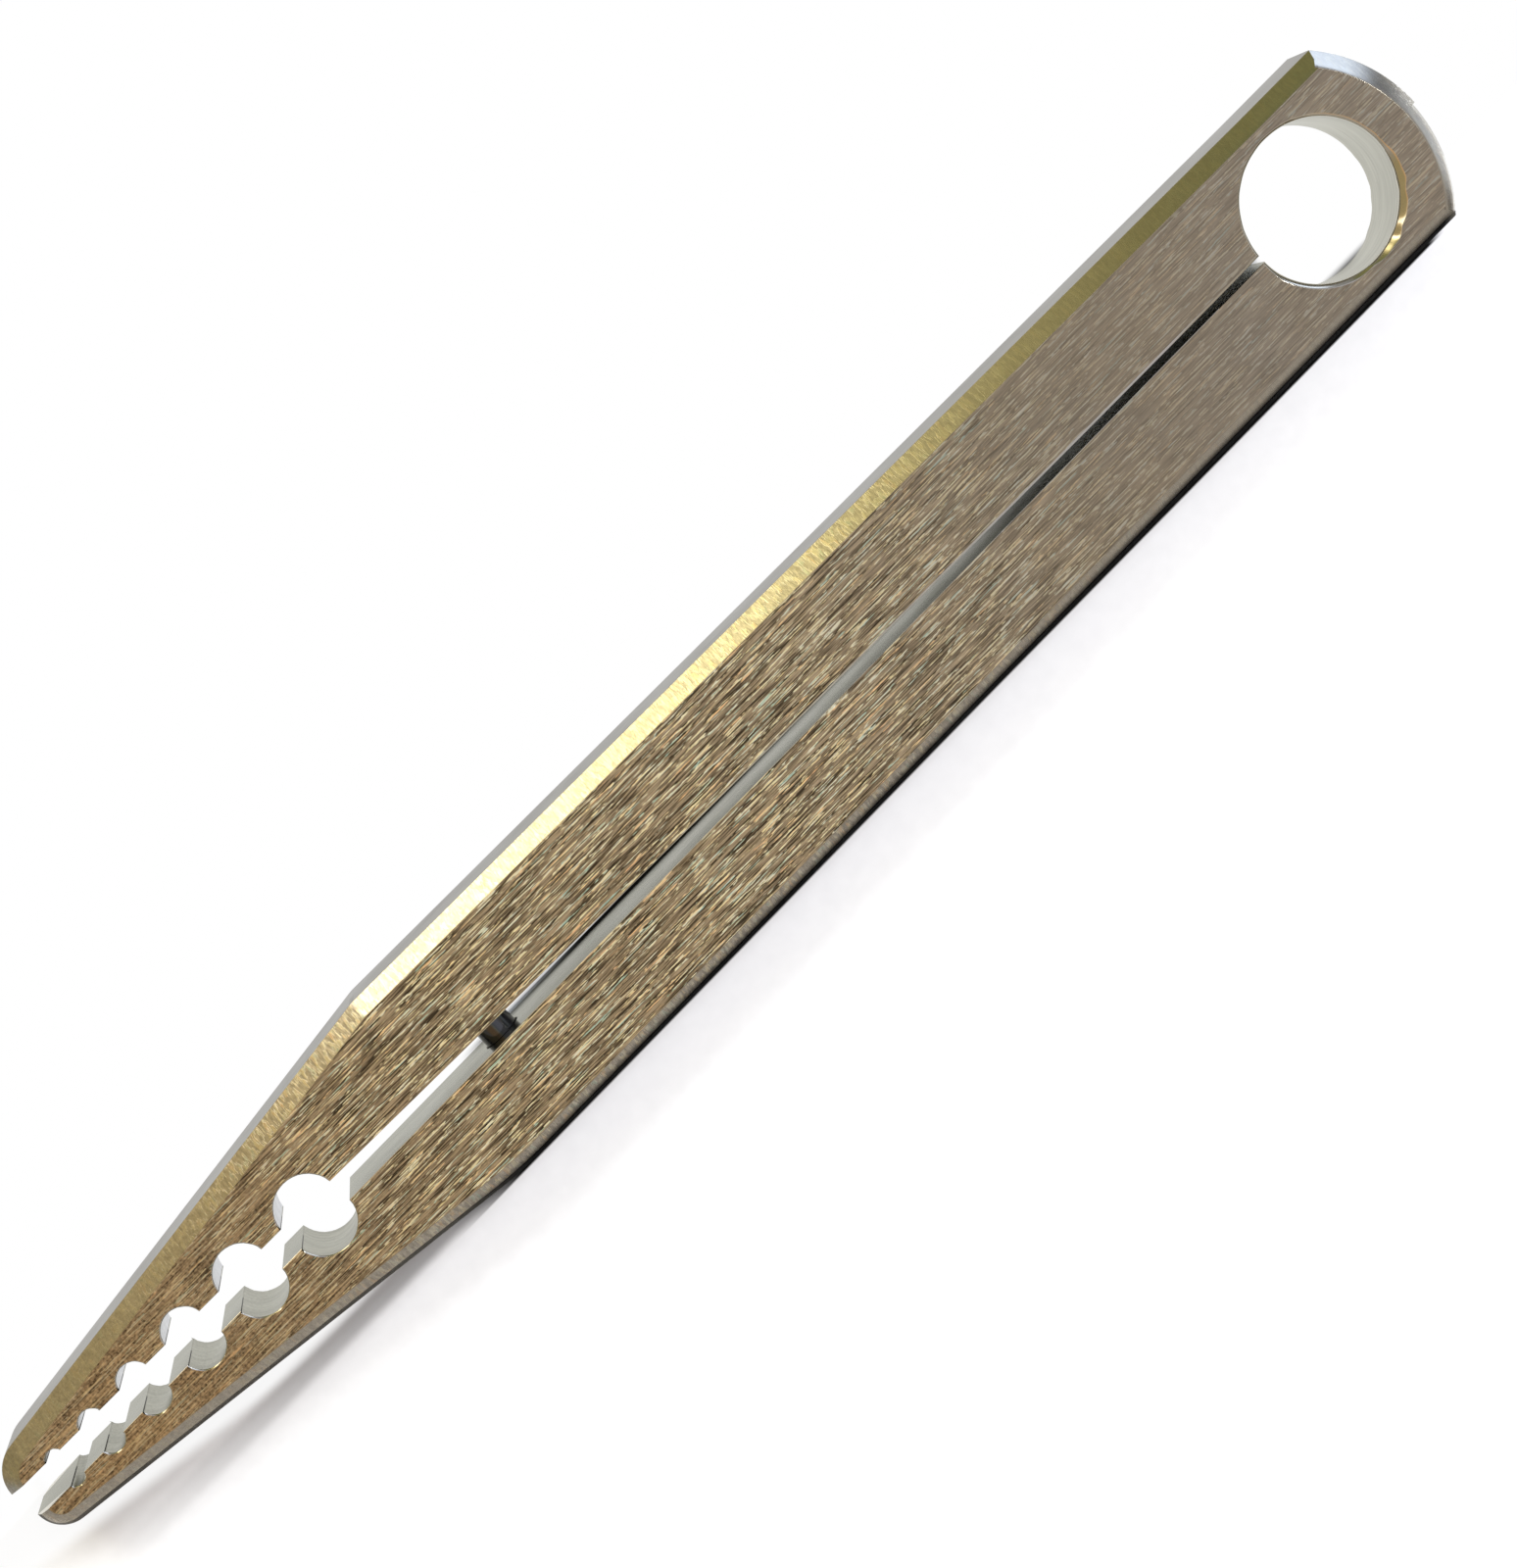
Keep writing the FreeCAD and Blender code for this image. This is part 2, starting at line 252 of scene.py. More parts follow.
def set_in(before, after, point, inset_before, inset_after):
    """Move a point of the outline inward: evenly on a run of one kind, mitred between two kinds."""
    a = (before[0], before[1])
    b = (after[0], after[1])
    edge_a = Vector((point[0] - a[0], point[1] - a[1])).normalized()
    edge_b = Vector((b[0] - point[0], b[1] - point[1])).normalized()
    normal_a = Vector((-edge_a.y, edge_a.x))
    normal_b = Vector((-edge_b.y, edge_b.x))
    cross = normal_a.x * normal_b.y - normal_a.y * normal_b.x
    if before[2] == point[2] or abs(cross) < 1e-4:
        both = normal_a + normal_b
        return Vector(point[:2]) + both * (inset_before + inset_after) / both.length_squared
    x = (inset_before * normal_b.y - inset_after * normal_a.y) / cross
    y = (inset_after * normal_a.x - inset_before * normal_b.x) / cross
    return Vector((point[0] + x, point[1] + y))


def open_up(place, side):
    """Turn a place of the closed bar outward with its arm, as the spring holds it at rest."""
    share = share_between(place.x, -flexure_reach, flexure_reach)
    share = share * share * (3 - 2 * share)
    pivot = Vector((0, pivot_y * side, 0))
    turned = Matrix.Rotation(rest_opening * share * side, 3, "Z") @ (place - pivot) + pivot
    return (turned + Vector((eye_x, 0, 0))) * MM


def make_half(name, side, bore_radius, crown, foot):
    """One half of the bar with its bevels, rims, notches and pin bore. The side is 1 or -1."""
    profiles = {
        OUTER: full_profile(bevel_width, bevel_depth, crown, edge_rounding, foot),
        EYE: full_profile(eye_rim, eye_rim, eye_rim_crown, edge_rounding),
        SLIT: full_profile(slit_rim, slit_rim_depth, 0.0, slit_rim_rounding),
        NOTCH: full_profile(notch_rim, notch_rim, 0.0, notch_rim_rounding),
    }
    profiles[BURR] = profiles[NOTCH]
    profiles[SEAM] = [(0.0, height) for _inset, height in profiles[OUTER]]
    rank = {OUTER: 0, EYE: 1, SLIT: 2, NOTCH: 2, BURR: 2, SEAM: 3}
    outline = half_outline(side)
    count = len(outline)
    levels = len(profiles[OUTER])
    mesh = bmesh.new()
    grid = []
    for level in range(levels):
        row = []
        for index, point in enumerate(outline):
            before = outline[index - 1]
            after = outline[(index + 1) % count]
            wear_before = rim_wear(before, side)
            wear = rim_wear(point, side)
            inset_before = profiles[before[2]][level][0] * wear_before
            inset_after = profiles[point[2]][level][0] * wear
            flat = set_in(before, after, point, inset_before, inset_after)
            leader = min(before, point, key=lambda spot: rank[spot[2]])
            height = profiles[leader[2]][level][1]
            drop = min(height, thickness - height) * rim_wear(leader, side)
            height = drop if height < thickness / 2 else thickness - drop
            place = Vector((flat.x, flat.y * side, height))
            row.append(mesh.verts.new(open_up(place, side)))
        grid.append(row)
    for ring in (grid[0], grid[-1]):
        fill_flat(mesh, ring)
    wall_band = levels // 2 - 1
    window = slit_steps
    for band in range(levels - 1):
        depth = min(band, levels - 2 - band)
        for index, point in enumerate(outline):
            after = (index + 1) % count
            if band == wall_band and index == window:
                continue
            corners = (grid[band][index], grid[band + 1][index])
            corners += (grid[band + 1][after], grid[band][after])
            mesh.faces.new(corners).material_index = finish_of(point, depth)
    cut_bore(mesh, grid, wall_band, window, side, bore_radius)
    bmesh.ops.recalc_face_normals(mesh, faces=mesh.faces)
    data = bpy.data.meshes.new(name)
    mesh.to_mesh(data)
    mesh.free()
    half = bpy.data.objects.new(name, data)
    bpy.context.scene.collection.objects.link(half)
    return half


def rim_wear(point, side):
    """How far a rim was broken by hand, as a share of its plain width."""
    x, y, kind = point
    if kind == NOTCH:
        return 1 + 0.35 * math.sin(x * 19) + 0.25 * math.sin(x * 31 + side)
    if kind == SLIT:
        worn_by_eye = 1 - min(share_between(x, 30, 58), 0.85)
        return worn_by_eye if side < 0 else 0.17
    if kind != EYE:
        return 1.0
    angle = math.degrees(math.atan2(y, x))
    ripple = 0.10 * math.sin(math.radians(angle * 17))
    ripple += 0.06 * math.sin(math.radians(angle * 29 + 40))
    if side < 0:
        return 0.75 + ripple * 0.6
    far_rim = share_between(angle, 88, 98) * share_between(angle, 176, 168)
    near_rim = share_between(angle, 5, 20) * share_between(angle, 86, 72)
    return 0.85 + near_rim * 0.7 + far_rim * (1.1 + 2.6 * ripple)


def fill_flat(mesh, ring):
    """Fill a flat face with even triangles."""
    height = ring[0].co.z
    border = [Vector((corner.co.x, corner.co.y)) / MM for corner in ring]
    low = Vector((min(p.x for p in border), min(p.y for p in border)))
    high = Vector((max(p.x for p in border), max(p.y for p in border)))
    inner = []
    for across in range(int((high.y - low.y) / face_mesh_step) + 1):
        for along in range(int((high.x - low.x) / face_mesh_step) + 1):
            spot = low + Vector((along + 0.5 * (across % 2), across)) * face_mesh_step
            if min((spot - p).length_squared for p in border) > (0.6 * face_mesh_step) ** 2:
                inner.append(spot)
    corners = list(range(len(border)))
    sides = [(corner, (corner + 1) % len(border)) for corner in corners]
    inner = [spot for spot in inner if clear_of_sides(spot, border, sides)]
    filled = geometry.delaunay_2d_cdt(border + inner, sides, [corners], 1, 1e-6)
    spots, faces, sources = filled[0], filled[2], filled[3]
    verts = {}
    for index, source in enumerate(sources):
        if source and source[0] < len(border):
            verts[index] = ring[source[0]]
    for face in faces:
        for index in face:
            if index not in verts:
                place = Vector((spots[index].x * MM, spots[index].y * MM, height))
                verts[index] = mesh.verts.new(place)
        mesh.faces.new([verts[index] for index in face]).material_index = FACE


def clear_of_sides(spot, border, sides):
    """True where a spot keeps its distance from every long side of the border."""
    for first, last in sides:
        if (border[first] - border[last]).length_squared < face_mesh_step**2:
            continue
        near, share = geometry.intersect_point_line(spot, border[first], border[last])
        if 0 <= share <= 1 and (Vector(near[:2]) - spot).length < 0.5 * face_mesh_step:
            return False
    return True


def finish_of(point, depth):
    """The finish of a band of the side, counted from the nearer flat face."""
    kind = point[2]
    if kind == OUTER:
        if depth == 0:
            return RUBBED
        if depth == bevel_bands + 1 and point[0] > -eye_to_corner - 0.1:
            return FOOT
        return BEVEL if depth <= bevel_bands + 1 else SIDE
    if kind == EYE:
        return RIM if depth <= bevel_bands + 1 else BORE
    if kind == BURR:
        return DARK_BURR
    if kind == NOTCH:
        return RIM if depth <= bevel_bands + 1 else DRILLED
    return RIM if depth <= bevel_bands + 1 else WALL


def cut_bore(mesh, grid, wall_band, window, side, bore_radius):
    """Open the slit wall round the pin and sink the blind bore behind it."""
    corners = [
        grid[wall_band][window + 1],
        grid[wall_band][window],
        grid[wall_band + 1][window],
        grid[wall_band + 1][window + 1],
    ]
    bore_end = half_width - pin_end_wall
    rings = []
    mouth = half_slit - bow_at(pin_station, side)
    for depth in (mouth, mouth + bore_lip, bore_end):
        ring = []
        spread = bore_radius + (bore_lip if depth == mouth else 0.0)
        for step in range(bore_steps):
            angle = math.pi / 4 + 2 * math.pi * step / bore_steps
            x = pin_station + spread * math.cos(angle)
            z = thickness / 2 + spread * math.sin(angle)
            ring.append(mesh.verts.new(open_up(Vector((x, depth * side, z)), side)))
        rings.append(ring)
    quarter = bore_steps // 4
    for turn in range(4):
        rim = [rings[0][(turn * quarter + step) % bore_steps] for step in range(quarter + 1)]
        face = mesh.faces.new([corners[turn]] + rim + [corners[(turn + 1) % 4]])
        face.material_index = WALL
    for near, far in zip(rings, rings[1:]):
        for step in range(bore_steps):
            after = (step + 1) % bore_steps
            face = mesh.faces.new((near[step], near[after], far[after], far[step]))
            face.material_index = BORE
    mesh.faces.new(rings[-1]).material_index = BORE


def dress(piece, sharp_angle):
    """Smooth shading with crisp corners, and flat faces that stay flat."""
    piece.data.shade_smooth()
    piece.data.set_sharp_from_angle(angle=sharp_angle)
    for face in piece.data.polygons:
        if len(face.vertices) > 4:
            face.use_smooth = False
    finishes_met = {}
    for face in piece.data.polygons:
        for key in face.edge_keys:
            finishes_met.setdefault(key, set()).add(face.material_index)
    for edge in piece.data.edges:
        met = finishes_met[edge.key]
        if FACE in met and len(met) > 1:
            edge.use_edge_sharp = True
    weigh = piece.modifiers.new("flat_faces", "WEIGHTED_NORMAL")
    weigh.keep_sharp = True
    weigh.weight = 90
    graph = bpy.context.evaluated_depsgraph_get()
    final = bpy.data.meshes.new_from_object(piece.evaluated_get(graph))
    piece.modifiers.clear()
    final.name = piece.name
    piece.data = final


left_half = make_half(
    "bar_left_half", 1, pin_radius + pin_slide_gap, left_bevel_crown, left_rolled_foot
)
right_half = make_half(
    "bar_right_half", -1, pin_radius + pin_press_gap, right_bevel_crown, right_sharp_foot
)
for half in (left_half, right_half):
    dress(half, math.radians(27))


def make_pin():
    """The guide pin across the slit, turned with rounded ends, in the right arm's frame."""
    start = -(half_width - pin_end_wall)
    end = start + pin_length
    shank = pin_radius - pin_end_round
    turns = [step * math.pi / 8 for step in range(5)]
    profile = [(start, 0.0)]
    profile += [
        (start + pin_end_round * (1 - math.cos(a)), shank + pin_end_round * math.sin(a)) for a in turns
    ]
    profile += [
        (end - pin_end_round * (1 - math.sin(a)), shank + pin_end_round * math.cos(a)) for a in turns
    ]
    profile += [(end, 0.0)]
    mesh = bmesh.new()
    rings = []
    for along, reach in profile:
        ring = []
        for step in range(bore_steps):
            angle = 2 * math.pi * step / bore_steps
            x = pin_station + reach * math.cos(angle)
            z = thickness / 2 + reach * math.sin(angle)
            if reach == 0 and ring:
                ring.append(ring[0])
            else:
                ring.append(mesh.verts.new(open_up(Vector((x, along, z)), -1)))
        rings.append(ring)
    for near, far in zip(rings, rings[1:]):
        for step in range(bore_steps):
            after = (step + 1) % bore_steps
            corners = []
            for corner in (near[step], near[after], far[after], far[step]):
                if corner not in corners:
                    corners.append(corner)
            mesh.faces.new(corners)
    bmesh.ops.recalc_face_normals(mesh, faces=mesh.faces)
    data = bpy.data.meshes.new("cross_pin")
    mesh.to_mesh(data)
    mesh.free()
    pin = bpy.data.objects.new("cross_pin", data)
    bpy.context.scene.collection.objects.link(pin)
    return pin


cross_pin = make_pin()
dress(cross_pin, math.radians(40))


# Materials: small helpers first


def add(tree, kind, **settings):
    """A new node with its plain settings made."""
    item = tree.nodes.new(kind)
    for name, value in settings.items():
        setattr(item, name, value)
    return item


def feed(tree, value, socket):
    """Link a socket to another, or set it to a plain value."""
    if hasattr(value, "links"):
        tree.links.new(value, socket)
    else:
        socket.default_value = value


def maths(tree, operation, first, second=None, third=None, clamp=False):
    """One sum on values."""
    item = add(tree, "ShaderNodeMath", operation=operation, use_clamp=clamp)
    for socket, value in zip(item.inputs, (first, second, third)):
        if value is not None:
            feed(tree, value, socket)
    return item.outputs[0]


def product(tree, first, *others):
    """All the given masks and strengths multiplied together."""
    for other in others:
        first = maths(tree, "MULTIPLY", first, other)
    return first


def vector_maths(tree, operation, first, second):
    """One sum on vectors or colours."""
    item = add(tree, "ShaderNodeVectorMath", operation=operation)
    feed(tree, first, item.inputs[0])
    feed(tree, second, item.inputs[1])
    return item.outputs[0]


def soft_step(tree, value, start, end):
    """Zero before the start mark, one past the end mark, and smooth between. Either may be higher."""
    item = add(tree, "ShaderNodeMapRange", interpolation_type="SMOOTHSTEP")
    feed(tree, value, item.inputs["Value"])
    feed(tree, start, item.inputs["From Min"])
    feed(tree, end, item.inputs["From Max"])
    return item.outputs[0]


def blend_colors(tree, share, first, second):
    """The first colour, with a share of the second over it."""
    item = add(tree, "ShaderNodeMix", data_type="RGBA", blend_type="MIX")
    for index, value in ((0, share), (6, first), (7, second)):
        feed(tree, (*value, 1) if isinstance(value, tuple) else value, item.inputs[index])
    return item.outputs[2]


def ramp(tree, value, stops):
    """A colour ramp from (place, colour) stops."""
    item = add(tree, "ShaderNodeValToRGB")
    marks = item.color_ramp.elements
    while len(marks) < len(stops):
        marks.new(0.5)
    for mark, (place, color) in zip(marks, stops):
        mark.position = place
        mark.color = (*color, 1)
    feed(tree, value, item.inputs[0])
    return item.outputs[0]


def noise(tree, spot, scale, detail=2.0, rough=0.5):
    """Plain noise, counted in cells per metre."""
    item = add(tree, "ShaderNodeTexNoise")
    item.inputs["Scale"].default_value = scale
    item.inputs["Detail"].default_value = detail
    item.inputs["Roughness"].default_value = rough
    feed(tree, spot, item.inputs["Vector"])
    return item.outputs["Fac"]


def new_group(name, inputs, outputs):
    """A shader node group with named sockets. Each is (name, socket kind, default)."""
    group = bpy.data.node_groups.new(name, "ShaderNodeTree")
    for label, kind, default in inputs:
        socket = group.interface.new_socket(name=label, in_out="INPUT", socket_type=kind)
        if default is not None:
            socket.default_value = default
    for label, kind in outputs:
        group.interface.new_socket(name=label, in_out="OUTPUT", socket_type=kind)
    return group, add(group, "NodeGroupInput"), add(group, "NodeGroupOutput")


def brush_lines_group():
    """Lines that a belt leaves along the bar: their height, and the few that get a painted glint."""
    group, start, end = new_group(
        "brush_lines",
        (
            ("Spot", "NodeSocketVector", None),
            ("Lines Along", "NodeSocketFloat", 600.0),
            ("Lines Across", "NodeSocketFloat", 9000.0),
            ("Lines Deep", "NodeSocketFloat", 9000.0),
            ("Glint Level", "NodeSocketFloat", 0.6),
        ),
        (
            ("Lines", "NodeSocketFloat"),
            ("Glints", "NodeSocketFloat"),
            ("Hue", "NodeSocketFloat"),
            ("Cloud", "NodeSocketFloat"),
            ("Grain", "NodeSocketFloat"),
        ),
    )
    bare_spot = start.outputs["Spot"]
    scale = add(group, "ShaderNodeCombineXYZ")
    feed(group, start.outputs["Lines Along"], scale.inputs["X"])
    feed(group, start.outputs["Lines Across"], scale.inputs["Y"])
    feed(group, start.outputs["Lines Deep"], scale.inputs["Z"])
    sway = add(group, "ShaderNodeCombineXYZ")
    feed(group, product(group, noise(group, bare_spot, 220.0, 1.0), 0.00005), sway.inputs["Y"])
    spot = vector_maths(group, "ADD", bare_spot, sway.outputs[0])
    stretched = vector_maths(group, "MULTIPLY", spot, scale.outputs[0])
    moved = vector_maths(group, "ADD", stretched, (31.0, 17.0, 5.0))
    fine = noise(group, stretched, 1.0, 3.0, 0.65)
    wider = vector_maths(group, "MULTIPLY", stretched, (0.45, 0.6, 0.6))
    broad = noise(group, wider, 1.0, 2.0, 0.6)
    lines = maths(group, "MULTIPLY_ADD", broad, 0.18, product(group, fine, 0.82))
    unbroken = noise(group, vector_maths(group, "MULTIPLY", moved, (1.0, 0.95, 0.95)), 1.0, 1.0)
    broken = noise(group, vector_maths(group, "MULTIPLY", moved, (5.0, 0.9, 0.9)), 1.0, 1.0)
    streak = maths(group, "MULTIPLY_ADD", broken, 0.35, product(group, unbroken, 0.65))
    level = start.outputs["Glint Level"]
    feed(group, lines, end.inputs["Lines"])
    feed(group, soft_step(group, streak, level, maths(group, "ADD", level, 0.045)), end.inputs["Glints"])
    feed(group, noise(group, moved, 0.5, 2.0, 0.7), end.inputs["Hue"])
    feed(group, noise(group, bare_spot, 160.0, 3.0, 0.6), end.inputs["Cloud"])
    feed(group, noise(group, bare_spot, 7000.0, 1.0), end.inputs["Grain"])
    return group


brush_lines = brush_lines_group()

# Colours of the glints painted into the base colour on a few brushed lines, from cool to warm
painted_glint_hues = (
    (0.35, (0.52, 0.74, 0.66)),
    (0.43, (0.97, 0.98, 0.84)),
    (0.55, (1.00, 0.93, 0.62)),
    (0.66, (1.00, 0.70, 0.42)),
)
burr_upper_dark = (0.02, 0.018, 0.015)


def steel(
    name,
    color,
    roughness,
    lines,
    glints,
    bump,
    contrast,
    grazing=1.0,
    dark_height=None,
    painted_dark_colour=None,
    roll=None,
):
    """A bare steel finish.

    Lines are counted per metre along, across and through the bar. Glints are the level that a line
    has to reach and the strength of its painted glint in the base colour. Grazing is the shine left
    at a glancing look. The painted dark colour covers the finish from the end of the bar to the jaw,
    standing in for the dark reflection along that edge, and a roll (start and end of the way down
    from the flat face, in mm) brings it in softly.
    """
    material = bpy.data.materials.new(name)
    material.use_nodes = True
    tree = material.node_tree
    tree.nodes.clear()
    out = add(tree, "ShaderNodeOutputMaterial")
    shader = add(tree, "ShaderNodeBsdfPrincipled")
    shader.inputs["Metallic"].default_value = 1.0
    shader.inputs["Specular Tint"].default_value = (grazing, grazing, grazing * 0.97, 1)
    feed(tree, shader.outputs[0], out.inputs["Surface"])
    place = add(tree, "ShaderNodeTexCoord")
    axes = add(tree, "ShaderNodeSeparateXYZ")
    feed(tree, place.outputs["Object"], axes.inputs[0])
    x, _y, z = axes.outputs
    brushed = add(tree, "ShaderNodeGroup", node_tree=brush_lines)
    for label, value in zip(("Lines Along", "Lines Across", "Lines Deep"), lines):
        brushed.inputs[label].default_value = value
    glint_level, glint_strength = glints
    brushed.inputs["Glint Level"].default_value = glint_level
    feed(tree, place.outputs["Object"], brushed.inputs["Spot"])

    # The line contrast and the painted glints are faint by the eye, full in the middle, and break up
    # into grain on the jaws: partly the brushing, partly painted light that follows where reflections
    # fall
    past_eye = soft_step(tree, x, -0.034, 0.000)
    toward_tip = product(tree, soft_step(tree, x, 0.022, 0.044), -0.66)
    depth = maths(tree, "MULTIPLY_ADD", past_eye, maths(tree, "ADD", toward_tip, 0.82), 0.18)
    swing = maths(tree, "SUBTRACT", brushed.outputs["Lines"], 0.5)
    toned = maths(tree, "MULTIPLY_ADD", swing, depth, 0.5)
    grain = maths(tree, "SUBTRACT", brushed.outputs["Grain"], 0.5)
    toned = maths(tree, "MULTIPLY_ADD", product(tree, grain, toward_tip), -0.35, toned)
    dark = tuple(channel * (1 - contrast) for channel in color)
    light = tuple(min(channel * (1 + contrast), 1.0) for channel in color)
    ground = ramp(tree, toned, ((0.42, dark), (0.58, light)))
    # Painted highlight: the glint colours are laid into the base colour
    painted_glint = ramp(tree, brushed.outputs["Hue"], painted_glint_hues)
    share = product(tree, brushed.outputs["Glints"], depth, glint_strength)
    surface = blend_colors(tree, share, ground, painted_glint)
    # The burr's wall is darker over its upper part
    if dark_height:
        uneven = maths(tree, "MULTIPLY_ADD", brushed.outputs["Cloud"], 0.0012, z)
        upper_dark = soft_step(tree, uneven, dark_height, dark_height + 0.0003)
        surface = blend_colors(tree, upper_dark, surface, burr_upper_dark)
    # Painted shade: a dark base colour standing in for the dark reflection along the lower bevel
    if painted_dark_colour:
        before_jaw = soft_step(tree, x, 0.029, 0.021)
        past_end = soft_step(tree, x, -0.0525, -0.0515)
        share = product(tree, before_jaw, past_end)
        if roll:
            off_middle = maths(tree, "ABSOLUTE", maths(tree, "SUBTRACT", z, thickness / 2 * MM))
            from_middle = [(thickness / 2 - way) * MM for way in roll]
            share = product(tree, share, soft_step(tree, off_middle, *from_middle))
        surface = blend_colors(tree, share, surface, painted_dark_colour)
    feed(tree, surface, shader.inputs["Base Color"])

    rough = add(tree, "ShaderNodeMapRange")
    feed(tree, brushed.outputs["Cloud"], rough.inputs["Value"])
    rough.inputs["From Min"].default_value = 0.3
    rough.inputs["From Max"].default_value = 0.7
    rough.inputs["To Min"].default_value = roughness * 0.85
    rough.inputs["To Max"].default_value = roughness * 1.15
    feed(tree, rough.outputs[0], shader.inputs["Roughness"])
    relief = add(tree, "ShaderNodeBump")
    relief.inputs["Strength"].default_value = 1.0
    relief.inputs["Distance"].default_value = bump
    height = maths(tree, "MULTIPLY_ADD", brushed.outputs["Glints"], 0.25, brushed.outputs["Lines"])
    feed(tree, product(tree, height, depth), relief.inputs["Height"])
    feed(tree, relief.outputs[0], shader.inputs["Normal"])
    return material


along_bar = (430, 11500, 11500)
along_wall = (500, 6000, 6000)
down_bevel = (4200, 1500, 1500)
round_bore = (300, 300, 4200)
bevel_steel = (0.50, 0.475, 0.43)

finishes = [
    steel("brushed_face", (0.29, 0.24, 0.168), 0.335, along_bar, (0.535, 1.0), 7e-5, 0.80),
    steel("ground_bevel", bevel_steel, 0.15, down_bevel, (0.50, 0.34), 6e-6, 0.16),
    # Painted shade: the left bevel's foot is near-black for the dark reflection along that edge
    steel(
        "painted_dark_foot",
        (0.36, 0.34, 0.31),
        0.30,
        along_wall,
        (0.62, 0.1),
        4e-6,
        0.12,
        grazing=0.12,
        painted_dark_colour=(0.008, 0.008, 0.008),
    ),
    steel("milled_side", (0.34, 0.33, 0.32), 0.33, along_wall, (0.62, 0.1), 4e-6, 0.12, grazing=0.85),
    steel("sawn_wall", (0.41, 0.405, 0.34), 0.24, along_wall, (0.62, 0.1), 4e-6, 0.10, grazing=0.78),
    steel("reamed_bore", (0.45, 0.445, 0.39), 0.34, round_bore, (0.65, 0.1), 2e-5, 0.34),
    steel("drilled_notch", (0.38, 0.375, 0.32), 0.34, round_bore, (0.65, 0.1), 1e-5, 0.20, grazing=0.94),
    steel("broken_rim", (0.62, 0.58, 0.50), 0.16, (900, 900, 900), (0.65, 0.1), 3e-6, 0.10),
    steel("rubbed_edge", (0.42, 0.38, 0.31), 0.25, (800, 3000, 3000), (0.65, 0.1), 3e-6, 0.08),
    steel(
        "dark_burr",
        (0.37, 0.365, 0.31),
        0.40,
        round_bore,
        (0.65, 0.1),
        5e-6,
        0.12,
        grazing=0.88,
        dark_height=0.0028,
    ),
]
for half in (left_half, right_half):
    for finish in finishes:
        half.data.materials.append(finish)

# The left bevel rolls off into its foot, where painted shade stands in for the dark reflection
# along that edge. The right one ends in a rubbed edge, and the right arm's notches get a lighter
# copy of the notch finish: painted light where the window falls on them.
left_half.data.materials[BEVEL] = steel(
    "rolled_bevel_painted_dark",
    bevel_steel,
    0.15,
    down_bevel,
    (0.50, 0.34),
    6e-6,
    0.16,
    painted_dark_colour=(0.02, 0.02, 0.022),
    roll=(0.12, 0.52),
)
right_half.data.materials[FOOT] = finishes[RUBBED]
# Painted light: a lighter copy of the notch finish where the window falls on the right arm's notches
right_half.data.materials[DRILLED] = steel(
    "painted_lit_notch", (0.66, 0.67, 0.71), 0.34, round_bore, (0.65, 0.1), 1e-5, 0.16, grazing=0.94
)

# The pin gets a near-black glossy coat, a painted dark standing in for the dark that a polished pin
# mirrors, so it isn't shaded as bare metal
dark_pin_finish = steel("painted_dark_pin", (0.006, 0.006, 0.007), 0.07, (3000, 300, 3000), (0.65, 0.0), 1e-6, 0.3)
dark_pin_shader = dark_pin_finish.node_tree.nodes["Principled BSDF"]
dark_pin_shader.inputs["Metallic"].default_value = 0.0
dark_pin_shader.inputs["Specular IOR Level"].default_value = 0.9
cross_pin.data.materials.append(dark_pin_finish)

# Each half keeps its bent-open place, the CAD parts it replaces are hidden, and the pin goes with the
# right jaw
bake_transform(left_half)
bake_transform(right_half)
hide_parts("left_arm", "spring_bow")
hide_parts("right_arm", "spring_bow")
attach(cross_pin, "right_jaw")
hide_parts("guide_pin")


# Table, light and camera. Places on the table are in metres, with x toward the tips.
floor_reach = 8.0
floor_drop = 0.00005
lamp_distance = 0.8
tip_x = 0.0517


def jaw_shadow(tree, x, y):
    """Mask of the soft painted shadow that lies beside the left jaw."""
    from_bar = soft_step(tree, y, 0.0060, 0.0066)
    to_table = soft_step(tree, y, 0.0079, 0.0072)
    deepening = soft_step(tree, x, 0.020, 0.026)
    fading = soft_step(tree, x, 0.060, 0.022)
    return product(tree, from_bar, to_table, deepening, fading, 0.62)


def slit_painted_shadow(tree, x, off_wall):
    """Mask of a painted black shadow in the middle of the slit's length, close to the left wall."""
    near_wall = soft_step(tree, off_wall, 0.00018, 0.00012)
    this_side = soft_step(tree, off_wall, -0.0003, -0.0002)
    from_eye = soft_step(tree, x, -0.020, -0.012)
    to_pin = soft_step(tree, x, 0.0185, 0.011)
    return product(tree, near_wall, this_side, from_eye, to_pin)


def contact_painted_shadow(tree, x, off_wall):
    """Mask of the painted black shadow where the left side of the bar meets the table."""
    off_edge = maths(tree, "MULTIPLY_ADD", off_wall, -1.0, (half_slit - half_width) * MM)
    narrower = product(tree, soft_step(tree, x, -0.050, -0.010), 0.00013)
    to_table = soft_step(tree, maths(tree, "ADD", off_edge, narrower), 0.00113, 0.00099)
    under_bar = soft_step(tree, off_edge, -0.0030, -0.0020)
    from_end = soft_step(tree, x, -0.0530, -0.0515)
    to_shoulder = soft_step(tree, x, 0.0290, 0.0230)
    return product(tree, to_table, under_bar, from_end, to_shoulder)


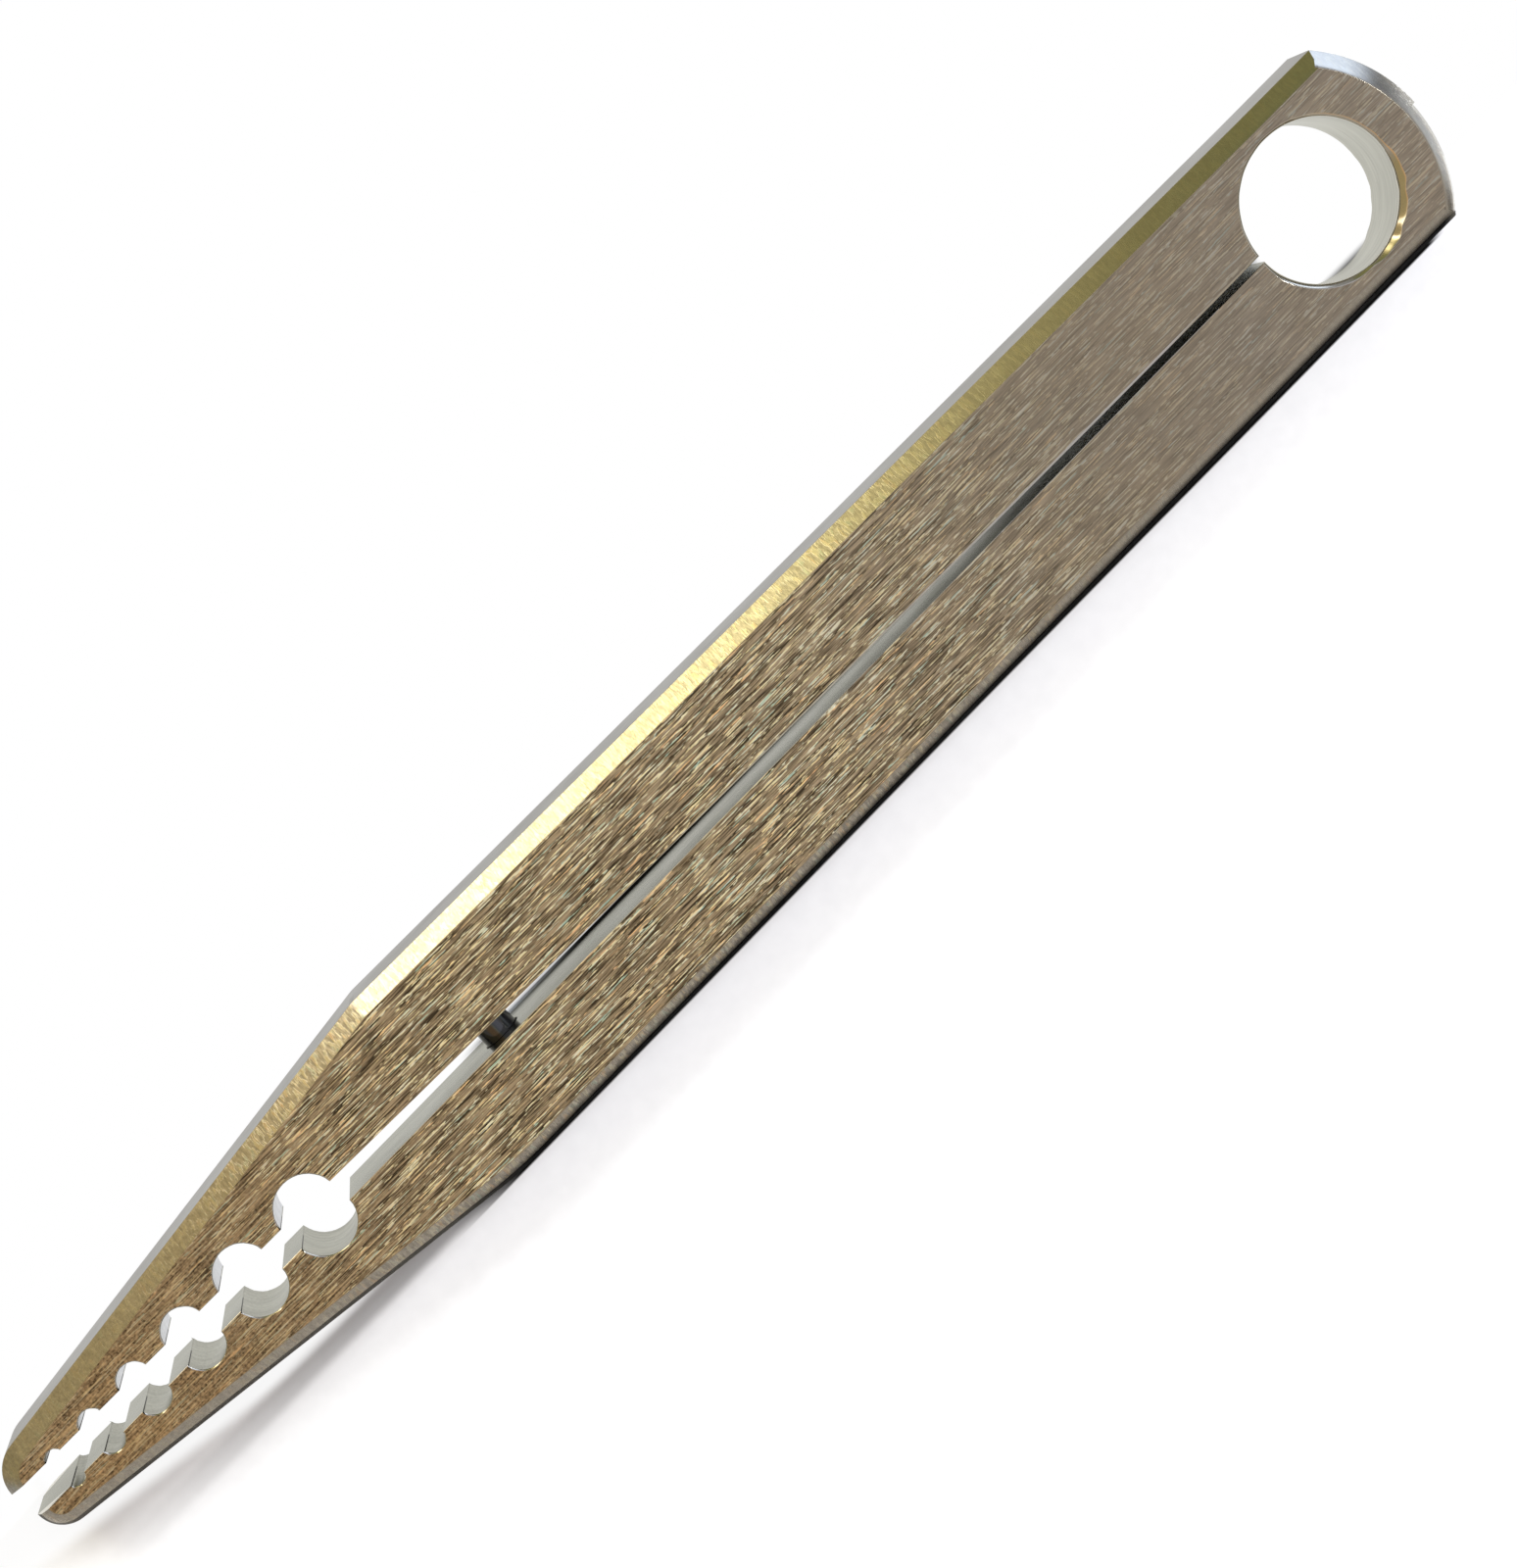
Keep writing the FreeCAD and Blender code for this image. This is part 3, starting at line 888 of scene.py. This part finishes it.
def white_places(tree, x, y, off_wall):
    """Mask of the table that stays pure white: in front, through the eye and slit, and beside the jaw,
    where it is a painted pool of light.
    """
    to_tip = maths(tree, "SUBTRACT", tip_x, x)
    hole_reach = maths(tree, "MINIMUM", 0.0045, maths(tree, "MULTIPLY_ADD", to_tip, 0.0717, 0.0022))
    past_holes = maths(tree, "SUBTRACT", maths(tree, "ABSOLUTE", y), hole_reach)
    across = soft_step(tree, past_holes, 0.0003, -0.0003)
    along = soft_step(tree, x, 0.0575, 0.0545)

    # Between the eye and the middle the slit shows no table, and further on only its right part
    past_eye = soft_step(tree, x, -0.0439, -0.0429)
    closed_slit = soft_step(tree, x, -0.014, -0.027)
    open_slit = maths(tree, "SUBTRACT", 1.0, product(tree, past_eye, closed_slit))
    shade = product(tree, soft_step(tree, off_wall, 0.00012, 0.00018), 0.45)
    open_floor = product(tree, soft_step(tree, off_wall, 0.00022, 0.00032), 0.55)
    hidden = maths(tree, "SUBTRACT", 1.0, maths(tree, "ADD", shade, open_floor))
    before_pin = product(tree, past_eye, soft_step(tree, x, 0.0215, 0.0185))
    beside_wall = maths(tree, "SUBTRACT", 1.0, product(tree, before_pin, hidden))
    under = product(tree, across, along, open_slit, beside_wall)

    # Painted light: a white patch beside the left jaw stands in for light thrown off the jaw
    half_bar = maths(tree, "MINIMUM", 0.0068, maths(tree, "MULTIPLY_ADD", to_tip, 0.149, 0.0014))
    front = soft_step(tree, maths(tree, "ADD", y, half_bar), 0.0028, 0.0008)
    past_jaw = soft_step(tree, maths(tree, "SUBTRACT", y, half_bar), 0.0040, 0.0030)
    before_band = soft_step(tree, y, 0.0067, 0.0058)
    painted_light_by_jaw = product(tree, past_jaw, before_band, soft_step(tree, x, 0.030, 0.037), 0.85)
    return maths(tree, "MAXIMUM", maths(tree, "MAXIMUM", under, front), painted_light_by_jaw)


def make_table():
    """A white table with painted close shadows and a painted pool of light, and its white places for the
    camera.
    """
    mesh = bmesh.new()
    corners = ((-1, -1), (1, -1), (1, 1), (-1, 1))
    verts = [mesh.verts.new((x * floor_reach, y * floor_reach, -floor_drop)) for x, y in corners]
    mesh.faces.new(verts)
    data = bpy.data.meshes.new("white_table")
    mesh.to_mesh(data)
    mesh.free()
    table = bpy.data.objects.new("white_table", data)
    bpy.context.scene.collection.objects.link(table)
    material = bpy.data.materials.new("white_table")
    material.use_nodes = True
    tree = material.node_tree
    tree.nodes.clear()
    place = add(tree, "ShaderNodeTexCoord")
    axes = add(tree, "ShaderNodeSeparateXYZ")
    feed(tree, place.outputs["Object"], axes.inputs[0])
    x, y, _z = axes.outputs
    wall_start = (half_slit - eye_x * rest_opening) * MM
    wall_y = maths(tree, "MULTIPLY_ADD", x, rest_opening, wall_start)
    off_wall = maths(tree, "SUBTRACT", wall_y, y)

    grain = noise(tree, place.outputs["Object"], 900.0, 3.0)
    top = ramp(tree, grain, ((0.3, (0.86, 0.89, 0.935)), (0.7, (0.89, 0.92, 0.965))))
    # Shadows painted into the table's colour
    top = blend_colors(tree, jaw_shadow(tree, x, y), top, (0.05, 0.05, 0.055))
    top = blend_colors(tree, slit_painted_shadow(tree, x, off_wall), top, (0.01, 0.01, 0.01))
    top = blend_colors(tree, contact_painted_shadow(tree, x, off_wall), top, (0.005, 0.005, 0.005))
    paper = add(tree, "ShaderNodeBsdfDiffuse")
    feed(tree, top, paper.inputs["Color"])
    glow = add(tree, "ShaderNodeEmission")
    path = add(tree, "ShaderNodeLightPath")
    seen = maths(tree, "ADD", path.outputs["Is Camera Ray"], path.outputs["Is Glossy Ray"])
    seen = maths(tree, "ADD", seen, path.outputs["Is Transmission Ray"], clamp=True)
    mixer = add(tree, "ShaderNodeMixShader")
    feed(tree, product(tree, white_places(tree, x, y, off_wall), seen), mixer.inputs[0])
    feed(tree, paper.outputs[0], mixer.inputs[1])
    feed(tree, glow.outputs[0], mixer.inputs[2])
    out = add(tree, "ShaderNodeOutputMaterial")
    feed(tree, mixer.outputs[0], out.inputs["Surface"])
    data.materials.append(material)


def area_lamp(name, azimuth, elevation, width, height, power, reflected):
    """A soft white lamp that looks at the tool. Azimuth 0 is -Y and 90 is +X."""
    lamp = bpy.data.lights.new(name, "AREA")
    lamp.shape = "RECTANGLE"
    lamp.size = width
    lamp.size_y = height
    lamp.energy = power
    lamp.color = (0.97, 0.985, 1.0)
    item = bpy.data.objects.new(name, lamp)
    turn = math.radians(azimuth)
    rise = math.radians(elevation)
    level = math.cos(rise)
    toward = Vector((math.sin(turn) * level, -math.cos(turn) * level, math.sin(rise)))
    item.location = toward * lamp_distance
    item.rotation_mode = "QUATERNION"
    item.rotation_quaternion = (-toward).to_track_quat("-Z", "Y")
    item.visible_camera = False
    item.visible_glossy = reflected
    bpy.context.scene.collection.objects.link(item)


def make_world():
    """The room that the steel mirrors: a ceiling, walls, a warm window and a cool one by the eye."""
    world = bpy.data.worlds.new("studio")
    world.use_nodes = True
    tree = world.node_tree
    place = add(tree, "ShaderNodeTexCoord")
    axes = add(tree, "ShaderNodeSeparateXYZ")
    feed(tree, place.outputs["Generated"], axes.inputs[0])
    x, y, z = axes.outputs
    to_degrees = 180 / math.pi
    azimuth = product(tree, maths(tree, "ARCTAN2", x, product(tree, y, -1.0)), to_degrees)
    rise = product(tree, maths(tree, "ARCSINE", z), to_degrees)

    # The ceiling goes from cool over the eye to warm over the tips
    sideways = maths(tree, "MULTIPLY_ADD", x, 1.4, 0.5)
    ceiling = ramp(
        tree,
        sideways,
        (
            (0.15, (0.77, 0.78, 0.93)),
            (0.36, (0.54, 0.58, 0.65)),
            (0.56, (0.84, 0.82, 0.70)),
            (0.68, (0.90, 0.72, 0.48)),
            (0.85, (0.80, 0.51, 0.265)),
        ),
    )
    walls = blend_colors(tree, soft_step(tree, y, -0.2, 0.4), (0.32, 0.33, 0.35), (0.50, 0.455, 0.40))
    room = blend_colors(tree, soft_step(tree, rise, 32, 56), walls, ceiling)

    # Low down it is dark past the left side, and past the eye it goes from dark to light
    far_side = product(tree, soft_step(tree, y, 0.3, 0.75), soft_step(tree, x, 0.26, 0.14))
    far_dark = product(tree, far_side, soft_step(tree, rise, 15, 3))
    room = blend_colors(tree, far_dark, room, (0.01, 0.01, 0.01))
    end_wall = blend_colors(tree, soft_step(tree, y, -0.1, 0.3), (0.20, 0.205, 0.22), (0.80, 0.85, 0.93))
    past_eye = product(tree, soft_step(tree, x, -0.8, -0.92), soft_step(tree, rise, 24, 12))
    room = blend_colors(tree, past_eye, room, end_wall)

    # The warm window changes over 60 degrees of azimuth, and is brightest near the middle of them
    warm_span = maths(tree, "MULTIPLY_ADD", azimuth, 1 / 60, 0.5)
    warm = ramp(
        tree,
        warm_span,
        (
            (0.00, (0.060, 0.065, 0.035)),
            (0.17, (0.075, 0.080, 0.036)),
            (0.25, (0.090, 0.085, 0.040)),
            (0.33, (0.150, 0.138, 0.070)),
            (0.41, (0.300, 0.270, 0.150)),
            (0.49, (0.850, 0.780, 0.480)),
            (0.58, (1.000, 0.940, 0.720)),
            (0.67, (1.000, 0.940, 0.870)),
            (0.76, (0.250, 0.205, 0.115)),
            (0.85, (0.170, 0.140, 0.080)),
            (1.00, (0.130, 0.112, 0.068)),
        ),
    )
    warm = vector_maths(tree, "MULTIPLY", warm, (3.4, 3.22, 2.77))
    warm_side = product(tree, soft_step(tree, azimuth, -45, -28), soft_step(tree, azimuth, 110, 70))
    warm_rise = product(tree, soft_step(tree, rise, 1, 6), soft_step(tree, rise, 68, 52))
    room = blend_colors(tree, product(tree, warm_side, warm_rise), room, warm)
    cool_side = product(tree, soft_step(tree, azimuth, -88, -76), soft_step(tree, azimuth, -52, -62))
    cool_rise = product(tree, soft_step(tree, rise, 1, 4), soft_step(tree, rise, 30, 20))
    room = blend_colors(tree, product(tree, cool_side, cool_rise), room, (1.5, 1.75, 2.2))
    feed(tree, room, tree.nodes["Background"].inputs[0])
    bpy.context.scene.world = world


make_table()
area_lamp("raking_lamp", -88, 14, 0.07, 0.05, 10.0, False)
area_lamp("front_lamp", -10, 40, 0.40, 0.30, 3.4, False)
area_lamp("eye_end_lamp", -90, 42, 0.10, 0.10, 0.9, True)
area_lamp("tip_lamp", 90, 45, 0.3, 0.2, 0.7, False)
make_world()

# The camera's place, turn and lens come from the bar's outline in the photo
camera_data = bpy.data.cameras.new("photo_camera")
camera_data.sensor_width = 36.0
camera_data.lens = 71.73
camera_data.clip_start = 0.01
camera_data.clip_end = 10.0
camera = bpy.data.objects.new("photo_camera", camera_data)
camera.location = (0.00032, -0.02746, 0.17662)
camera.rotation_euler = [math.radians(a) for a in (-6.0408, -7.1638, 135.1578)]
bpy.context.scene.collection.objects.link(camera)
bpy.context.scene.camera = camera

bpy.context.scene.view_settings.view_transform = "Standard"
